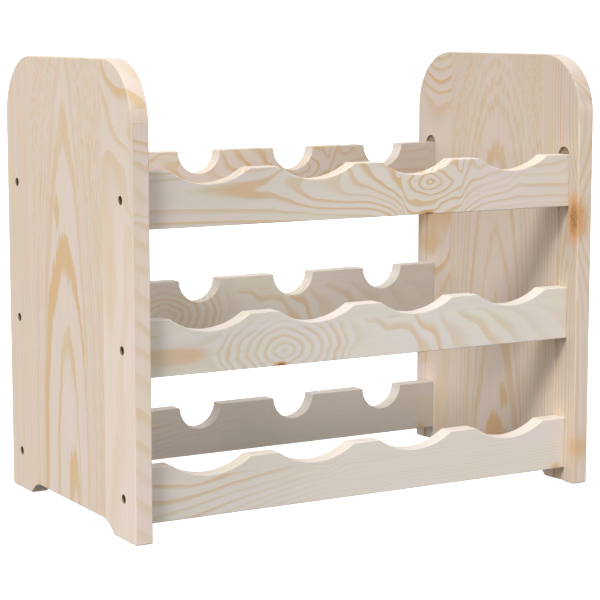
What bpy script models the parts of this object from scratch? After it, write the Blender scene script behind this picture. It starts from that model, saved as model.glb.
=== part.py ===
"""Pine wine rack: two side panels, three front rails, three rear rails, twelve wood screws.

Bottles lie front to back. A body rests in a wide notch of a front rail and a neck in a
round notch of the rear rail behind it. The rail ends sit in upright grooves in the panels
and one screw through the panel holds each end.

Metres, +Z up, +X along the rails, front at -Y, origin on the floor under the rack's centre.
"""

import math

import bmesh
import bpy
from mathutils import Matrix, Vector

# Whole rack
RACK_WIDTH = 0.440
RACK_DEPTH = 0.2515
RACK_HEIGHT = 0.376
BOARD = 0.015
GAP = 0.0003

# Side panels
CORNER_RADIUS = 0.051
FOOT_LENGTH = 0.042
CUTOUT_HEIGHT = 0.010
CUTOUT_RADIUS = 0.027
PANEL_ARRIS = 0.0012

# Rails
RAIL_HEIGHT = 0.045
RAIL_SETBACK = 0.014
LOWEST_RAIL = 0.0124
RAIL_SPACING = 0.1162
RAIL_ARRIS = 0.0007
TIERS = ("bottom", "middle", "top")

# Bottle notches
NOTCHES = 4
NOTCH_PITCH = 0.0972
BODY_NOTCH_RADIUS = 0.0604
BODY_NOTCH_DEPTH = 0.0115
NECK_NOTCH_RADIUS = 0.0208
NECK_NOTCH_DEPTH = 0.0206

# Upright grooves that house the rail ends
GROOVE_DEPTH = 0.002
GROOVE_WIDTH = BOARD + 2 * GAP
GROOVE_TOP = 0.2962

# Screws, one at each rail end
SCREW_HEIGHTS = (0.0332, 0.1509, 0.2678)
HEAD_RADIUS = 0.0033
HEAD_RIM = 0.0004
HEAD_RECESS = 0.0013
SHANK_RADIUS = 0.00175
SCREW_LENGTH = 0.036
TIP_LENGTH = 0.004
TIP_RADIUS = 0.0003
RECESS_SPAN = 0.0034
RECESS_SLOT = 0.0009
RECESS_DEPTH = 0.0014
HEAD_HOLE_RADIUS = 0.0036
PILOT_SPARE = 0.0015

# Smoothness
CORNER_STEPS = 18
CUTOUT_STEPS = 8
BODY_NOTCH_STEPS = 20
NECK_NOTCH_STEPS = 20
GROOVE_STEPS = 14
ROUND_STEPS = 20
SMOOTH_ANGLE = math.radians(30)
FLAT_ANGLE = math.radians(0.2)

PINE = (0.74, 0.60, 0.45, 1.0)
BRONZE = (0.16, 0.09, 0.035, 1.0)


def clear_scene():
    for obj in list(bpy.data.objects):
        bpy.data.objects.remove(obj, do_unlink=True)


def collection(name):
    made = bpy.data.collections.new(name)
    bpy.context.scene.collection.children.link(made)
    return made


def material(name, colour, roughness, metallic):
    made = bpy.data.materials.new(name)
    made.use_nodes = True
    shader = made.node_tree.nodes["Principled BSDF"]
    shader.inputs["Base Color"].default_value = colour
    shader.inputs["Roughness"].default_value = roughness
    shader.inputs["Metallic"].default_value = metallic
    made.diffuse_color = colour
    return made


def arc(centre, radius, start, end, steps):
    """Points on a circle from angle start to angle end, both included."""
    turn = (end - start) / steps
    return [
        (centre[0] + radius * math.cos(start + turn * i), centre[1] + radius * math.sin(start + turn * i))
        for i in range(steps + 1)
    ]


def outline_curve(name, points, thickness, group):
    """A flat closed outline, filled on both sides and given a thickness about its own plane."""
    curve = bpy.data.curves.new(name, "CURVE")
    curve.dimensions = "2D"
    curve.fill_mode = "BOTH"
    curve.extrude = thickness / 2
    spline = curve.splines.new("POLY")
    spline.points.add(len(points) - 1)
    for point, (across, up) in zip(spline.points, points):
        point.co = (across, up, 0, 1)
    spline.use_cyclic_u = True
    obj = bpy.data.objects.new(name, curve)
    group.objects.link(obj)
    return obj


def evaluated_mesh(obj):
    bpy.context.view_layer.update()
    graph = bpy.context.evaluated_depsgraph_get()
    return bpy.data.meshes.new_from_object(obj.evaluated_get(graph), depsgraph=graph)


def outline_solid(name, points, thickness, placing, group):
    """The outline as a mesh object: the caps are welded to the walls and the curve is removed."""
    curve = outline_curve(name + "_outline", points, thickness, group)
    curve.matrix_world = placing
    mesh = evaluated_mesh(curve)
    mesh.name = name
    shape = bmesh.new()
    shape.from_mesh(mesh)
    bmesh.ops.remove_doubles(shape, verts=shape.verts, dist=1e-6)
    bmesh.ops.dissolve_limit(shape, angle_limit=FLAT_ANGLE, verts=shape.verts, edges=shape.edges)
    bmesh.ops.recalc_face_normals(shape, faces=shape.faces)
    shape.to_mesh(mesh)
    shape.free()
    obj = bpy.data.objects.new(name, mesh)
    group.objects.link(obj)
    obj.matrix_world = curve.matrix_world
    bpy.data.objects.remove(curve, do_unlink=True)
    return obj


def turned_profile(name, profile, steps, group):
    """A profile of (radius, height) pairs turned about Z by a Screw modifier."""
    mesh = bpy.data.meshes.new(name)
    rows = [(radius, 0, height) for radius, height in profile]
    mesh.from_pydata(rows, [(i, i + 1) for i in range(len(rows) - 1)], [])
    obj = bpy.data.objects.new(name, mesh)
    group.objects.link(obj)
    turn = obj.modifiers.new("Turn", "SCREW")
    turn.axis = "Z"
    turn.angle = math.tau
    turn.steps = steps
    turn.render_steps = steps
    turn.use_merge_vertices = True
    turn.merge_threshold = 0.00001
    return obj


def soften(obj, width, segments):
    bevel = obj.modifiers.new("Arris", "BEVEL")
    bevel.width = width
    bevel.segments = segments
    bevel.limit_method = "ANGLE"
    bevel.angle_limit = math.radians(32)
    bevel.use_clamp_overlap = True


def cut(obj, cutter):
    boolean = obj.modifiers.new("Cut", "BOOLEAN")
    boolean.operation = "DIFFERENCE"
    boolean.solver = "EXACT"
    boolean.object = cutter


def finish(obj, look):
    """Gives the mesh its material and shades its round faces smooth."""
    obj.data.materials.clear()
    obj.data.materials.append(look)
    obj.data.shade_smooth()
    obj.data.set_sharp_from_angle(angle=SMOOTH_ANGLE)


def hide_cutter(obj):
    obj.hide_render = True
    obj.display_type = "WIRE"


def merged(name, pieces, group):
    """One mesh object made of separate closed shapes, each placed in the world."""
    shape = bmesh.new()
    for piece in pieces:
        mesh = evaluated_mesh(piece)
        mesh.transform(piece.matrix_world)
        shape.from_mesh(mesh)
        bpy.data.meshes.remove(mesh)
        bpy.data.objects.remove(piece, do_unlink=True)
    bmesh.ops.recalc_face_normals(shape, faces=shape.faces)
    mesh = bpy.data.meshes.new(name)
    shape.to_mesh(mesh)
    shape.free()
    obj = bpy.data.objects.new(name, mesh)
    group.objects.link(obj)
    return obj


def upright(middle):
    """Turns an outline drawn as (depth, height) into a board standing across this X."""
    across = Matrix(((0, 0, 1, 0), (1, 0, 0, 0), (0, 1, 0, 0), (0, 0, 0, 1)))
    return Matrix.Translation((middle, 0, 0)) @ across


def facing(depth):
    """Turns an outline drawn as (width, height) into a board facing the front at this depth."""
    return Matrix.Translation((0, depth, 0)) @ Matrix.Rotation(math.pi / 2, 4, "X")


def panel_outline():
    front = -RACK_DEPTH / 2
    rear = RACK_DEPTH / 2
    shoulder = RACK_HEIGHT - CORNER_RADIUS
    turn = math.acos((CUTOUT_RADIUS - CUTOUT_HEIGHT) / CUTOUT_RADIUS)
    reach = CUTOUT_RADIUS * math.sin(turn)
    below = CUTOUT_HEIGHT - CUTOUT_RADIUS
    inner_foot = front + FOOT_LENGTH
    up = math.pi / 2
    points = [(front, 0)]
    points += [(inner_foot, 0)]
    points += arc((inner_foot + reach, below), CUTOUT_RADIUS, up + turn, up, CUTOUT_STEPS)[1:]
    points += arc((-inner_foot - reach, below), CUTOUT_RADIUS, up, up - turn, CUTOUT_STEPS)[:-1]
    points += [(-inner_foot, 0)]
    points += [(rear, 0)]
    points += arc((rear - CORNER_RADIUS, shoulder), CORNER_RADIUS, 0, up, CORNER_STEPS)
    points += arc((front + CORNER_RADIUS, shoulder), CORNER_RADIUS, up, math.pi, CORNER_STEPS)
    return points


def groove_outline(depth):
    """A slot round at its top that runs out below the floor."""
    half = GROOVE_WIDTH / 2
    below = -BOARD
    points = [(depth - half, below), (depth + half, below)]
    return points + arc((depth, GROOVE_TOP - half), half, 0, math.pi, GROOVE_STEPS)


def rail_depth(row):
    """The middle of a rail's thickness: row is -1 at the front and +1 at the rear."""
    return row * (RACK_DEPTH / 2 - RAIL_SETBACK - BOARD / 2)


def rail_base(tier):
    return LOWEST_RAIL + tier * RAIL_SPACING


def groove_cutter(name, side, group):
    floor = side * (RACK_WIDTH / 2 - BOARD + GROOVE_DEPTH)
    mouth = side * (RACK_WIDTH / 2 - 2 * BOARD)
    placing = upright((floor + mouth) / 2)
    slots = [
        outline_solid(name + "_slot", groove_outline(rail_depth(row)), abs(floor - mouth), placing, group)
        for row in (-1, 1)
    ]
    return merged(name, slots, group)


def screw_placing(side, row, height):
    """The outer face's screw centre, with local -Z pointing into the rack."""
    start = Vector((side * RACK_WIDTH / 2, rail_depth(row), height))
    return Matrix.Translation(start) @ Matrix.Rotation(side * math.pi / 2, 4, "Y")


def screw_hole_cutter(name, side, group):
    """Stepped holes: a straight mouth, a countersink under the head and a clearance bore."""
    seat_shift = GAP * math.sqrt(2)
    seat_top = -(HEAD_RECESS + HEAD_RIM + HEAD_RADIUS + seat_shift - HEAD_HOLE_RADIUS)
    bore = SHANK_RADIUS + GAP
    seat_bottom = seat_top - (HEAD_HOLE_RADIUS - bore)
    profile = [
        (0, BOARD),
        (HEAD_HOLE_RADIUS, BOARD),
        (HEAD_HOLE_RADIUS, seat_top),
        (bore, seat_bottom),
        (bore, -1.5 * BOARD),
        (0, -1.5 * BOARD),
    ]
    holes = []
    for row in (-1, 1):
        for height in SCREW_HEIGHTS:
            hole = turned_profile(name + "_hole", profile, ROUND_STEPS, group)
            hole.matrix_world = screw_placing(side, row, height)
            holes.append(hole)
    return merged(name, holes, group)


def make_panel(name, side, look, group, cutters):
    placing = upright(side * (RACK_WIDTH - BOARD) / 2)
    panel = outline_solid(name, panel_outline(), BOARD, placing, group)
    soften(panel, PANEL_ARRIS, 2)
    for cutter in (
        screw_hole_cutter(name + "_hole_cutter", side, cutters),
        groove_cutter(name + "_groove_cutter", side, cutters),
    ):
        hide_cutter(cutter)
        cut(panel, cutter)
    finish(panel, look)


def rail_outline(half_length, radius, depth, steps):
    """A board edge on, with round notches let into its top edge."""
    turn = math.acos((radius - depth) / radius)
    above = RAIL_HEIGHT + radius - depth
    down = -math.pi / 2
    points = [(-half_length, 0), (half_length, 0), (half_length, RAIL_HEIGHT)]
    for index in reversed(range(NOTCHES)):
        middle = (index - (NOTCHES - 1) / 2) * NOTCH_PITCH
        points += arc((middle, above), radius, down + turn, down - turn, steps)
    return points + [(-half_length, RAIL_HEIGHT)]


def pilot_cutter(name, row, tier, half_length, group):
    """A blind hole into each end of a rail, as deep as the screw reaches with room past its tip."""
    inner = RACK_WIDTH / 2 - (HEAD_RECESS + SCREW_LENGTH + PILOT_SPARE)
    outer = half_length + BOARD
    shape = bmesh.new()
    for side in (-1, 1):
        middle = Vector((side * (inner + outer) / 2, rail_depth(row), SCREW_HEIGHTS[tier]))
        bmesh.ops.create_cone(
            shape,
            cap_ends=True,
            segments=ROUND_STEPS,
            radius1=SHANK_RADIUS + GAP,
            radius2=SHANK_RADIUS + GAP,
            depth=outer - inner,
            matrix=Matrix.Translation(middle) @ Matrix.Rotation(math.pi / 2, 4, "Y"),
        )
    mesh = bpy.data.meshes.new(name)
    shape.to_mesh(mesh)
    shape.free()
    obj = bpy.data.objects.new(name, mesh)
    group.objects.link(obj)
    return obj


def make_rail(name, row, tier, notch, look, group, cutters):
    half_length = RACK_WIDTH / 2 - BOARD + GROOVE_DEPTH - GAP
    placing = Matrix.Translation((0, 0, rail_base(tier))) @ facing(rail_depth(row))
    rail = outline_solid(name, rail_outline(half_length, *notch), BOARD, placing, group)
    soften(rail, RAIL_ARRIS, 1)
    cutter = pilot_cutter(name + "_pilot_cutter", row, tier, half_length, cutters)
    hide_cutter(cutter)
    cut(rail, cutter)
    finish(rail, look)


def recess_outline():
    """A plus sign, drawn round its twelve corners."""
    long = RECESS_SPAN / 2
    short = RECESS_SLOT / 2
    arm = [(long, -short), (long, short), (short, short)]
    points = []
    for quarter in range(4):
        turn = Matrix.Rotation(quarter * math.pi / 2, 2)
        points += [tuple(turn @ Vector(corner)) for corner in arm]
    return points


def screw_mesh(group):
    """A countersunk wood screw along Z, its head's flat at -HEAD_RECESS and its tip downwards."""
    top = -HEAD_RECESS
    rim = top - HEAD_RIM
    neck = rim - (HEAD_RADIUS - SHANK_RADIUS)
    tip = top - SCREW_LENGTH
    profile = [
        (0, top),
        (HEAD_RADIUS, top),
        (HEAD_RADIUS, rim),
        (SHANK_RADIUS, neck),
        (SHANK_RADIUS, tip + TIP_LENGTH),
        (TIP_RADIUS, tip),
        (0, tip),
    ]
    blank = turned_profile("screw_blank", profile, ROUND_STEPS, group)
    floor = Matrix.Translation((0, 0, top))
    recess = outline_solid("screw_recess", recess_outline(), 2 * RECESS_DEPTH, floor, group)
    cut(blank, recess)
    mesh = evaluated_mesh(blank)
    mesh.name = "wood_screw"
    bpy.data.objects.remove(blank, do_unlink=True)
    bpy.data.objects.remove(recess, do_unlink=True)
    return mesh


def make_screws(look, group):
    mesh = screw_mesh(group)
    for side, side_name in ((-1, "left"), (1, "right")):
        for row, row_name in ((-1, "front"), (1, "rear")):
            for tier, height in zip(TIERS, SCREW_HEIGHTS):
                screw = bpy.data.objects.new(f"screw_{side_name}_{row_name}_{tier}", mesh)
                group.objects.link(screw)
                screw.matrix_world = screw_placing(side, row, height)
                finish(screw, look)


def main():
    clear_scene()
    rack = collection("wine_rack")
    cutters = collection("cutters")
    pine = material("pine", PINE, 0.62, 0.0)
    bronze = material("bronzed_steel", BRONZE, 0.45, 0.8)
    make_panel("left_side_panel", -1, pine, rack, cutters)
    make_panel("right_side_panel", 1, pine, rack, cutters)
    body_notch = (BODY_NOTCH_RADIUS, BODY_NOTCH_DEPTH, BODY_NOTCH_STEPS)
    neck_notch = (NECK_NOTCH_RADIUS, NECK_NOTCH_DEPTH, NECK_NOTCH_STEPS)
    for tier, tier_name in enumerate(TIERS):
        make_rail(f"front_rail_{tier_name}", -1, tier, body_notch, pine, rack, cutters)
        make_rail(f"rear_rail_{tier_name}", 1, tier, neck_notch, pine, rack, cutters)
    make_screws(bronze, rack)


main()
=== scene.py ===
"""Bare pine wine rack for twelve bottles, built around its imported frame.

Two side panels glued up from three staves each, three front rails with wide notches for
bottle bodies, three rear rails with round notches for bottle necks, and twelve bronzed
wood screws. Metres, +Z up, +X along the rails, the front at -Y, the floor at Z 0.
"""

import math

import bmesh
import bpy
from mathutils import Matrix, Vector


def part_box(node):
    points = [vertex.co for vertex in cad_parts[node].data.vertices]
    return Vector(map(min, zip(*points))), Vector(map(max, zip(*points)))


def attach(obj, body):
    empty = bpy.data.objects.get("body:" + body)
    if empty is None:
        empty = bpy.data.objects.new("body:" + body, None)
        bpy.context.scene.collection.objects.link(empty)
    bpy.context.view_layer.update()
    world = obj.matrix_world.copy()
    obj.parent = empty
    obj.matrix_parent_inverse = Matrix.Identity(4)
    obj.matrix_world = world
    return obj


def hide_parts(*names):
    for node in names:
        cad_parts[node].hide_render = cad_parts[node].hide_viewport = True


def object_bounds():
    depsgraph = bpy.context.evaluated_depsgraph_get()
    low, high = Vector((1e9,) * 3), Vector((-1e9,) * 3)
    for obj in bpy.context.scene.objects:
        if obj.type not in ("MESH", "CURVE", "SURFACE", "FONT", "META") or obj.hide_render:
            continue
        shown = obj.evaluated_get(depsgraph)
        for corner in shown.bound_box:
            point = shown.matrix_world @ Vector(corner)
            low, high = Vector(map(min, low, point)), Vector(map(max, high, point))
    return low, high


bl_info = {
    "name": "Pine Wine Rack",
    "version": (1, 0, 0),
    "blender": (4, 5, 0),
    "location": "View3D > Sidebar > Wine Rack",
    "description": "Builds a bare pine wine rack with its screws, and a plain studio round it",
    "category": "Add Mesh",
}

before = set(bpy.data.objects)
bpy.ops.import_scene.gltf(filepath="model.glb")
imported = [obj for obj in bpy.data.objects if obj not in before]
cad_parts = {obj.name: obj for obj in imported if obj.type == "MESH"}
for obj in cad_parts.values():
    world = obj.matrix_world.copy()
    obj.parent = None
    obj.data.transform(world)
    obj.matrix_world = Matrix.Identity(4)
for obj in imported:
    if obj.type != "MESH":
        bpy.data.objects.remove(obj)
FRAME_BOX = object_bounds()
PANEL_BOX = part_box("left_side_panel")
RIGHT_PANEL_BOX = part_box("right_side_panel")
RAIL_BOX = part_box("front_rail_bottom")
SCREW_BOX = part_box("screw_left_front_bottom")

TIERS = ("bottom", "middle", "top")
NOTCHES = 4
BODY = "root"
MM = 1000.0

CORNER_STEPS = 40
CUTOUT_STEPS = 16
NOTCH_STEPS = 44
FILLET_STEPS = 6
GROOVE_STEPS = 28
ROUND_STEPS = 40
SMOOTH_ANGLE = math.radians(38)
BEVEL_ANGLE = math.radians(30)


def length(name, description, default):
    """A length that the user can change."""
    return bpy.props.FloatProperty(
        name=name, description=description, default=default, min=0.0, unit="LENGTH"
    )


def colour_choice(name, description, default):
    """A colour that the user can change."""
    return bpy.props.FloatVectorProperty(
        name=name, description=description, default=default, min=0.0, max=1.0, subtype="COLOR"
    )


class RackSizes(bpy.types.PropertyGroup):
    """Sizes that the frame's boxes don't give."""

    corner_radius: length("Corner radius", "Round of a side panel's two top corners", 0.051)
    foot_length: length(
        "Foot length", "Length of each foot under a side panel, front to back", 0.042
    )
    cutout_height: length("Cut-out height", "How far the cut between the feet rises", 0.010)
    cutout_radius: length("Cut-out radius", "Round at each end of the cut between the feet", 0.027)
    panel_arris: length("Panel arris", "Sanded round along a side panel's edges", 0.0012)
    rail_arris: length("Rail arris", "Sanded round along a rail's edges", 0.0007)
    notch_pitch: length("Notch pitch", "Distance between the middles of two bottles", 0.0972)
    body_notch_radius: length("Body notch radius", "Round of a front rail's notch", 0.0604)
    body_notch_depth: length(
        "Body notch depth", "How far a front rail's notch goes below its top", 0.0115
    )
    neck_notch_radius: length("Neck notch radius", "Round of a rear rail's notch", 0.0208)
    neck_notch_depth: length(
        "Neck notch depth", "How far a rear rail's notch goes below its top", 0.0206
    )
    groove_depth: length(
        "Groove depth", "How far the grooves for the rail ends go into a side panel", 0.002
    )
    groove_top: length("Groove top", "Height of the round top of each groove", 0.2962)
    groove_clearance: length("Groove clearance", "Gap on each side of a rail in its groove", 0.0003)
    head_recess: length("Head recess", "How far a screw's head sits below the panel's face", 0.0013)


class RackColours(bpy.types.PropertyGroup):
    """Colours of the wood, the screws and the studio."""

    earlywood: colour_choice("Earlywood", "Pale wood between the rings", (0.838, 0.714, 0.618))
    pale_earlywood: colour_choice(
        "Pale earlywood", "Earlywood of the whitest rails", (0.870, 0.812, 0.738)
    )
    faint_latewood: colour_choice(
        "Faint latewood", "Grey-green wood of the narrow, faint rings", (0.720, 0.600, 0.395)
    )
    # End grain: the sawn wood's paler colour, whitened further as a painted highlight for the lit tops of
    # the panels.
    end_grain_and_painted_highlight: colour_choice("End grain", "Sawn wood across the rings", (0.790, 0.720, 0.650))
    latewood: colour_choice("Latewood", "Tan wood of the rings", (0.795, 0.550, 0.315))
    knot: colour_choice("Knot", "Red-brown heart of a knot", (0.330, 0.120, 0.035))
    bronze: colour_choice("Bronzed steel", "Finish of the wood screws", (0.170, 0.112, 0.040))
    floor: colour_choice("Floor", "Plain pale studio floor", (0.900, 0.900, 0.900))


# ---------------------------------------------------------------- shapes


def arc(centre, radius, start, end, steps):
    """Points on a circle from angle start to angle end, both included."""
    turn = (end - start) / steps
    angles = [start + turn * i for i in range(steps + 1)]
    return [
        (centre[0] + radius * math.cos(angle), centre[1] + radius * math.sin(angle))
        for angle in angles
    ]


def fillet(before, corner, after, radius, steps):
    """Points that round a corner of an outline."""
    point = Vector(corner)
    back = (Vector(before) - point).normalized()
    ahead = (Vector(after) - point).normalized()
    half = back.angle(ahead) / 2
    reach = radius / math.tan(half)
    centre = point + (back + ahead).normalized() * (radius / math.sin(half))
    start = point + back * reach - centre
    end = point + ahead * reach - centre
    turn = start.angle_signed(end)
    rounded = []
    for i in range(steps + 1):
        swing = Matrix.Rotation(-turn * i / steps, 2)
        rounded.append(tuple(centre + swing @ start))
    return rounded


def mesh_object(name, shape):
    """Turns a bmesh into an object at the origin and frees it."""
    bmesh.ops.recalc_face_normals(shape, faces=shape.faces)
    mesh = bpy.data.meshes.new(name)
    shape.to_mesh(mesh)
    shape.free()
    obj = bpy.data.objects.new(name, mesh)
    bpy.context.scene.collection.objects.link(obj)
    return obj


def board(name, outline, thickness, arris, segments, placing):
    """A board of this outline, its long edges and corners sanded round."""
    shape = bmesh.new()
    corners = [shape.verts.new((u, v, -thickness / 2)) for u, v in outline]
    face = shape.faces.new(corners)
    raised = bmesh.ops.extrude_face_region(shape, geom=[face])
    tops = [item for item in raised["geom"] if isinstance(item, bmesh.types.BMVert)]
    bmesh.ops.translate(shape, verts=tops, vec=(0, 0, thickness))
    bmesh.ops.recalc_face_normals(shape, faces=shape.faces)
    sharp = [edge for edge in shape.edges if edge.calc_face_angle(0) > BEVEL_ANGLE]
    bmesh.ops.bevel(
        shape,
        geom=sharp,
        offset=arris,
        segments=segments,
        profile=0.5,
        affect="EDGES",
        clamp_overlap=True,
    )
    bmesh.ops.transform(shape, matrix=placing, verts=shape.verts)
    return mesh_object(name, shape)


def skin(name, loops):
    """A closed skin over loops that all have the same number of points."""
    shape = bmesh.new()
    rows = [[shape.verts.new(point) for point in loop] for loop in loops]
    count = len(rows[0])
    for lower, upper in zip(rows, rows[1:]):
        for i in range(count):
            following = (i + 1) % count
            shape.faces.new((lower[i], lower[following], upper[following], upper[i]))
    shape.faces.new(rows[0])
    shape.faces.new(rows[-1])
    return mesh_object(name, shape)


def settled(obj):
    """Applies the modifiers of an object."""
    bpy.context.view_layer.update()
    graph = bpy.context.evaluated_depsgraph_get()
    mesh = bpy.data.meshes.new_from_object(obj.evaluated_get(graph), depsgraph=graph)
    worn = obj.data
    obj.modifiers.clear()
    obj.data = mesh
    bpy.data.meshes.remove(worn)
    mesh.name = obj.name
    return obj


def carve(obj, cutters):
    """Cuts these shapes out of the object, which then stands on its own."""
    for cutter in cutters:
        cut = obj.modifiers.new("Cut", "BOOLEAN")
        cut.operation = "DIFFERENCE"
        cut.solver = "EXACT"
        cut.object = cutter
    settled(obj)
    for cutter in cutters:
        worn = cutter.data
        bpy.data.objects.remove(cutter, do_unlink=True)
        bpy.data.meshes.remove(worn)
    return obj


def dress(obj, look, slot, *nodes):
    """Shades the piece, gives it its material and puts it in the place of its CAD nodes."""
    obj.data.materials.clear()
    obj.data.materials.append(look)
    obj.data.shade_smooth()
    obj.data.set_sharp_from_angle(angle=SMOOTH_ANGLE)
    weigh = obj.modifiers.new("Flat faces lead", "WEIGHTED_NORMAL")
    weigh.keep_sharp = True
    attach(obj, BODY)
    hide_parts(*nodes)


# ---------------------------------------------------------------- grain


class Signal:
    """A number that varies through the wood. Arithmetic on it adds nodes to its tree."""

    def __init__(self, tree, socket):
        self.tree = tree
        self.socket = socket

    def math(self, operation, *others):
        node = self.tree.nodes.new("ShaderNodeMath")
        node.operation = operation
        for place, value in enumerate((self, *others)):
            feed(self.tree, value, node.inputs[place])
        return Signal(self.tree, node.outputs[0])

    def __add__(self, other):
        return self.math("ADD", other)

    __radd__ = __add__

    def __sub__(self, other):
        return self.math("SUBTRACT", other)

    def __rsub__(self, other):
        return (self * -1.0) + other

    def __mul__(self, other):
        return self.math("MULTIPLY", other)

    __rmul__ = __mul__

    def __truediv__(self, other):
        return self.math("DIVIDE", other)

    def squared(self):
        return self * self

    def above(self, level):
        """How far it is over the level, and 0 below it."""
        return (self - level).math("MAXIMUM", 0.0)

    def bell(self, width):
        """1 at zero, fading on both sides over about this width."""
        return (self.squared() * (-0.5 / width**2)).math("EXPONENT")

    def ramp(self, low, high):
        """0 below low, 1 above high, smooth between."""
        node = self.tree.nodes.new("ShaderNodeMapRange")
        node.interpolation_type = "SMOOTHSTEP"
        feed(self.tree, self, node.inputs["Value"])
        node.inputs["From Min"].default_value = low
        node.inputs["From Max"].default_value = high
        return Signal(self.tree, node.outputs["Result"])


def feed(tree, value, socket):
    """Links a signal or a node's output to a socket, or sets the socket to a number."""
    if isinstance(value, Signal):
        tree.links.new(value.socket, socket)
    elif isinstance(value, bpy.types.NodeSocket):
        tree.links.new(value, socket)
    else:
        socket.default_value = value


def blend(where, inside, outside):
    """inside where the mask is 1, outside where it is 0."""
    return where * inside + (1.0 - where) * outside


def joined(tree, x, y, z):
    node = tree.nodes.new("ShaderNodeCombineXYZ")
    for value, socket in zip((x, y, z), node.inputs):
        feed(tree, value, socket)
    return node.outputs[0]


def noise(tree, vector, detail=2.0, roughness=0.5):
    """Smooth noise from about -1 to 1 that repeats over about one unit of the vector."""
    node = tree.nodes.new("ShaderNodeTexNoise")
    node.noise_dimensions = "3D"
    node.normalize = True
    feed(tree, vector, node.inputs["Vector"])
    node.inputs["Scale"].default_value = 1.0
    node.inputs["Detail"].default_value = detail
    node.inputs["Roughness"].default_value = roughness
    return (Signal(tree, node.outputs[0]) - 0.5) * 2.0


def chance(tree, value):
    """A fixed random number from 0 to 1 for each whole number."""
    node = tree.nodes.new("ShaderNodeTexWhiteNoise")
    node.noise_dimensions = "1D"
    feed(tree, value, node.inputs["W"])
    return Signal(tree, node.outputs["Value"])


def mixed(tree, factor, first, second, mode="MIX"):
    """A colour mix; first and second are colours or outputs."""
    node = tree.nodes.new("ShaderNodeMix")
    node.data_type = "RGBA"
    node.blend_type = mode
    feed(tree, factor, node.inputs["Factor"])
    sockets = [socket for socket in node.inputs if socket.type == "RGBA"]
    feed(tree, first, sockets[0])
    feed(tree, second, sockets[1])
    return [socket for socket in node.outputs if socket.type == "RGBA"][0]


def grey(tree, value):
    """A signal as a colour with its three parts alike."""
    return joined(tree, value, value, value)


def solid(colour):
    return (*colour, 1.0)


class Wood:
    """A place in a board, in mm along the grain, across the face and into the board."""

    def __init__(self, tree, along, across, deep, seed):
        self.tree = tree
        self.along = along
        self.across = across
        self.deep = deep
        self.seed = seed

    def noise(self, across, along, shift=0.0, detail=2.0, roughness=0.5):
        """Noise whose features are this long in mm across and along the grain."""
        vector = joined(
            self.tree,
            self.along / along + (self.seed + shift),
            self.across / across,
            self.deep / across,
        )
        return noise(self.tree, vector, detail, roughness)


def ring_bands(tree, rings, soft=0.50, firm=0.80):
    """Latewood at the end of each whole ring: it comes on softly and stops sharply.
    Each ring has a strength of its own."""
    whole = rings.math("FLOOR")
    part = rings - whole
    band = part.ramp(soft, firm) * (1.0 - part.ramp(0.94, 1.0))
    return band * (chance(tree, whole) * 0.5 + 0.5)


def curve_along(wood, stations, values, along):
    """A smooth curve through a value at each station along the board."""
    low, high = min(values), max(values)
    span = max(high - low, 1e-6)
    start, length = stations[0], stations[-1] - stations[0]
    node = wood.tree.nodes.new("ShaderNodeFloatCurve")
    feed(wood.tree, (along - start) / length, node.inputs["Value"])
    curve = node.mapping.curves[0]
    while len(curve.points) < len(stations):
        curve.points.new(0.5, 0.5)
    for point, station, value in zip(curve.points, stations, values):
        point.location = ((station - start) / length, (value - low) / span)
        point.handle_type = "AUTO"
    node.mapping.use_clip = False
    node.mapping.extend = "HORIZONTAL"
    node.mapping.update()
    return Signal(wood.tree, node.outputs[0]) * span + low


def charted_rings(wood, chart, along, share):
    """Ring numbers from a chart: each row is a station along the grain, then the ring numbers
    met at even steps across the board. share runs from 0 to 1 across it."""
    stations = [row[0] for row in chart]
    steps = len(chart[0]) - 2
    differences = []
    rows = [list(row[1:]) for row in chart]
    for _ in range(steps + 1):
        differences.append([row[0] for row in rows])
        rows = [[b - a for a, b in zip(row, row[1:])] for row in rows]
    place = share * float(steps)
    total = curve_along(wood, stations, differences[-1], along)
    for order in reversed(range(steps)):
        total = (place - float(order)) / (order + 1.0) * total
        total = total + curve_along(wood, stations, differences[order], along)
    return total


def knot_at(wood, along, across, deep, long, wide, through):
    """Core and halo masks of a knot: its middle and its three half-sizes, in mm."""
    far = ((wood.along - along) / long).squared() + ((wood.across - across) / wide).squared()
    far = (far + ((wood.deep - deep) / through).squared()).math("SQRT")
    far = far + wood.noise(3.0, 6.0, 0.4, 2.0) * 0.25
    core = 1.0 - far.ramp(0.25, 0.75)
    halo = 1.0 - far.ramp(0.6, 1.25)
    return core, halo


# ---------------------------------------------------------------- figures

# Ring charts, fitted to ring lines that were read off. A fitting script printed them from ring
# lines that were read by eye. Each row is a station along the grain in mm, then the ring
# numbers at even steps across the board.
FLAME_RAIL = (
    (0, 0.29, 1.89, 2.50, 2.41, 0.60),
    (40, 0.52, 1.93, 2.73, 2.67, 0.60),
    (75, 0.66, 2.01, 2.88, 2.88, 1.20),
    (100, 0.90, 2.15, 3.07, 3.03, 1.60),
    (125, 0.90, 2.38, 3.39, 3.82, 2.60),
    (145, 1.12, 2.84, 4.17, 4.27, 4.05),
    (165, 1.35, 3.36, 4.77, 4.94, 5.40),
    (185, 1.74, 3.61, 5.35, 5.82, 6.34),
    (205, 1.85, 3.78, 5.72, 6.88, 7.31),
    (222, 2.62, 4.76, 6.81, 7.70, 8.19),
    (238, 4.86, 6.61, 7.99, 8.49, 8.98),
    (250, 6.83, 8.28, 8.92, 8.87, 9.40),
    (262, 6.14, 8.37, 9.12, 9.66, 9.60),
    (275, 6.18, 7.71, 8.96, 9.59, 9.30),
    (288, 5.98, 6.91, 8.30, 9.00, 8.90),
    (302, 3.60, 5.73, 7.30, 8.16, 8.60),
    (320, 2.09, 4.00, 6.08, 7.65, 8.40),
    (345, 1.47, 3.35, 5.10, 7.04, 8.10),
    (375, 0.69, 3.16, 4.34, 5.68, 6.90),
    (410, 1.28, 3.09, 4.16, 4.77, 6.16),
)
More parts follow.
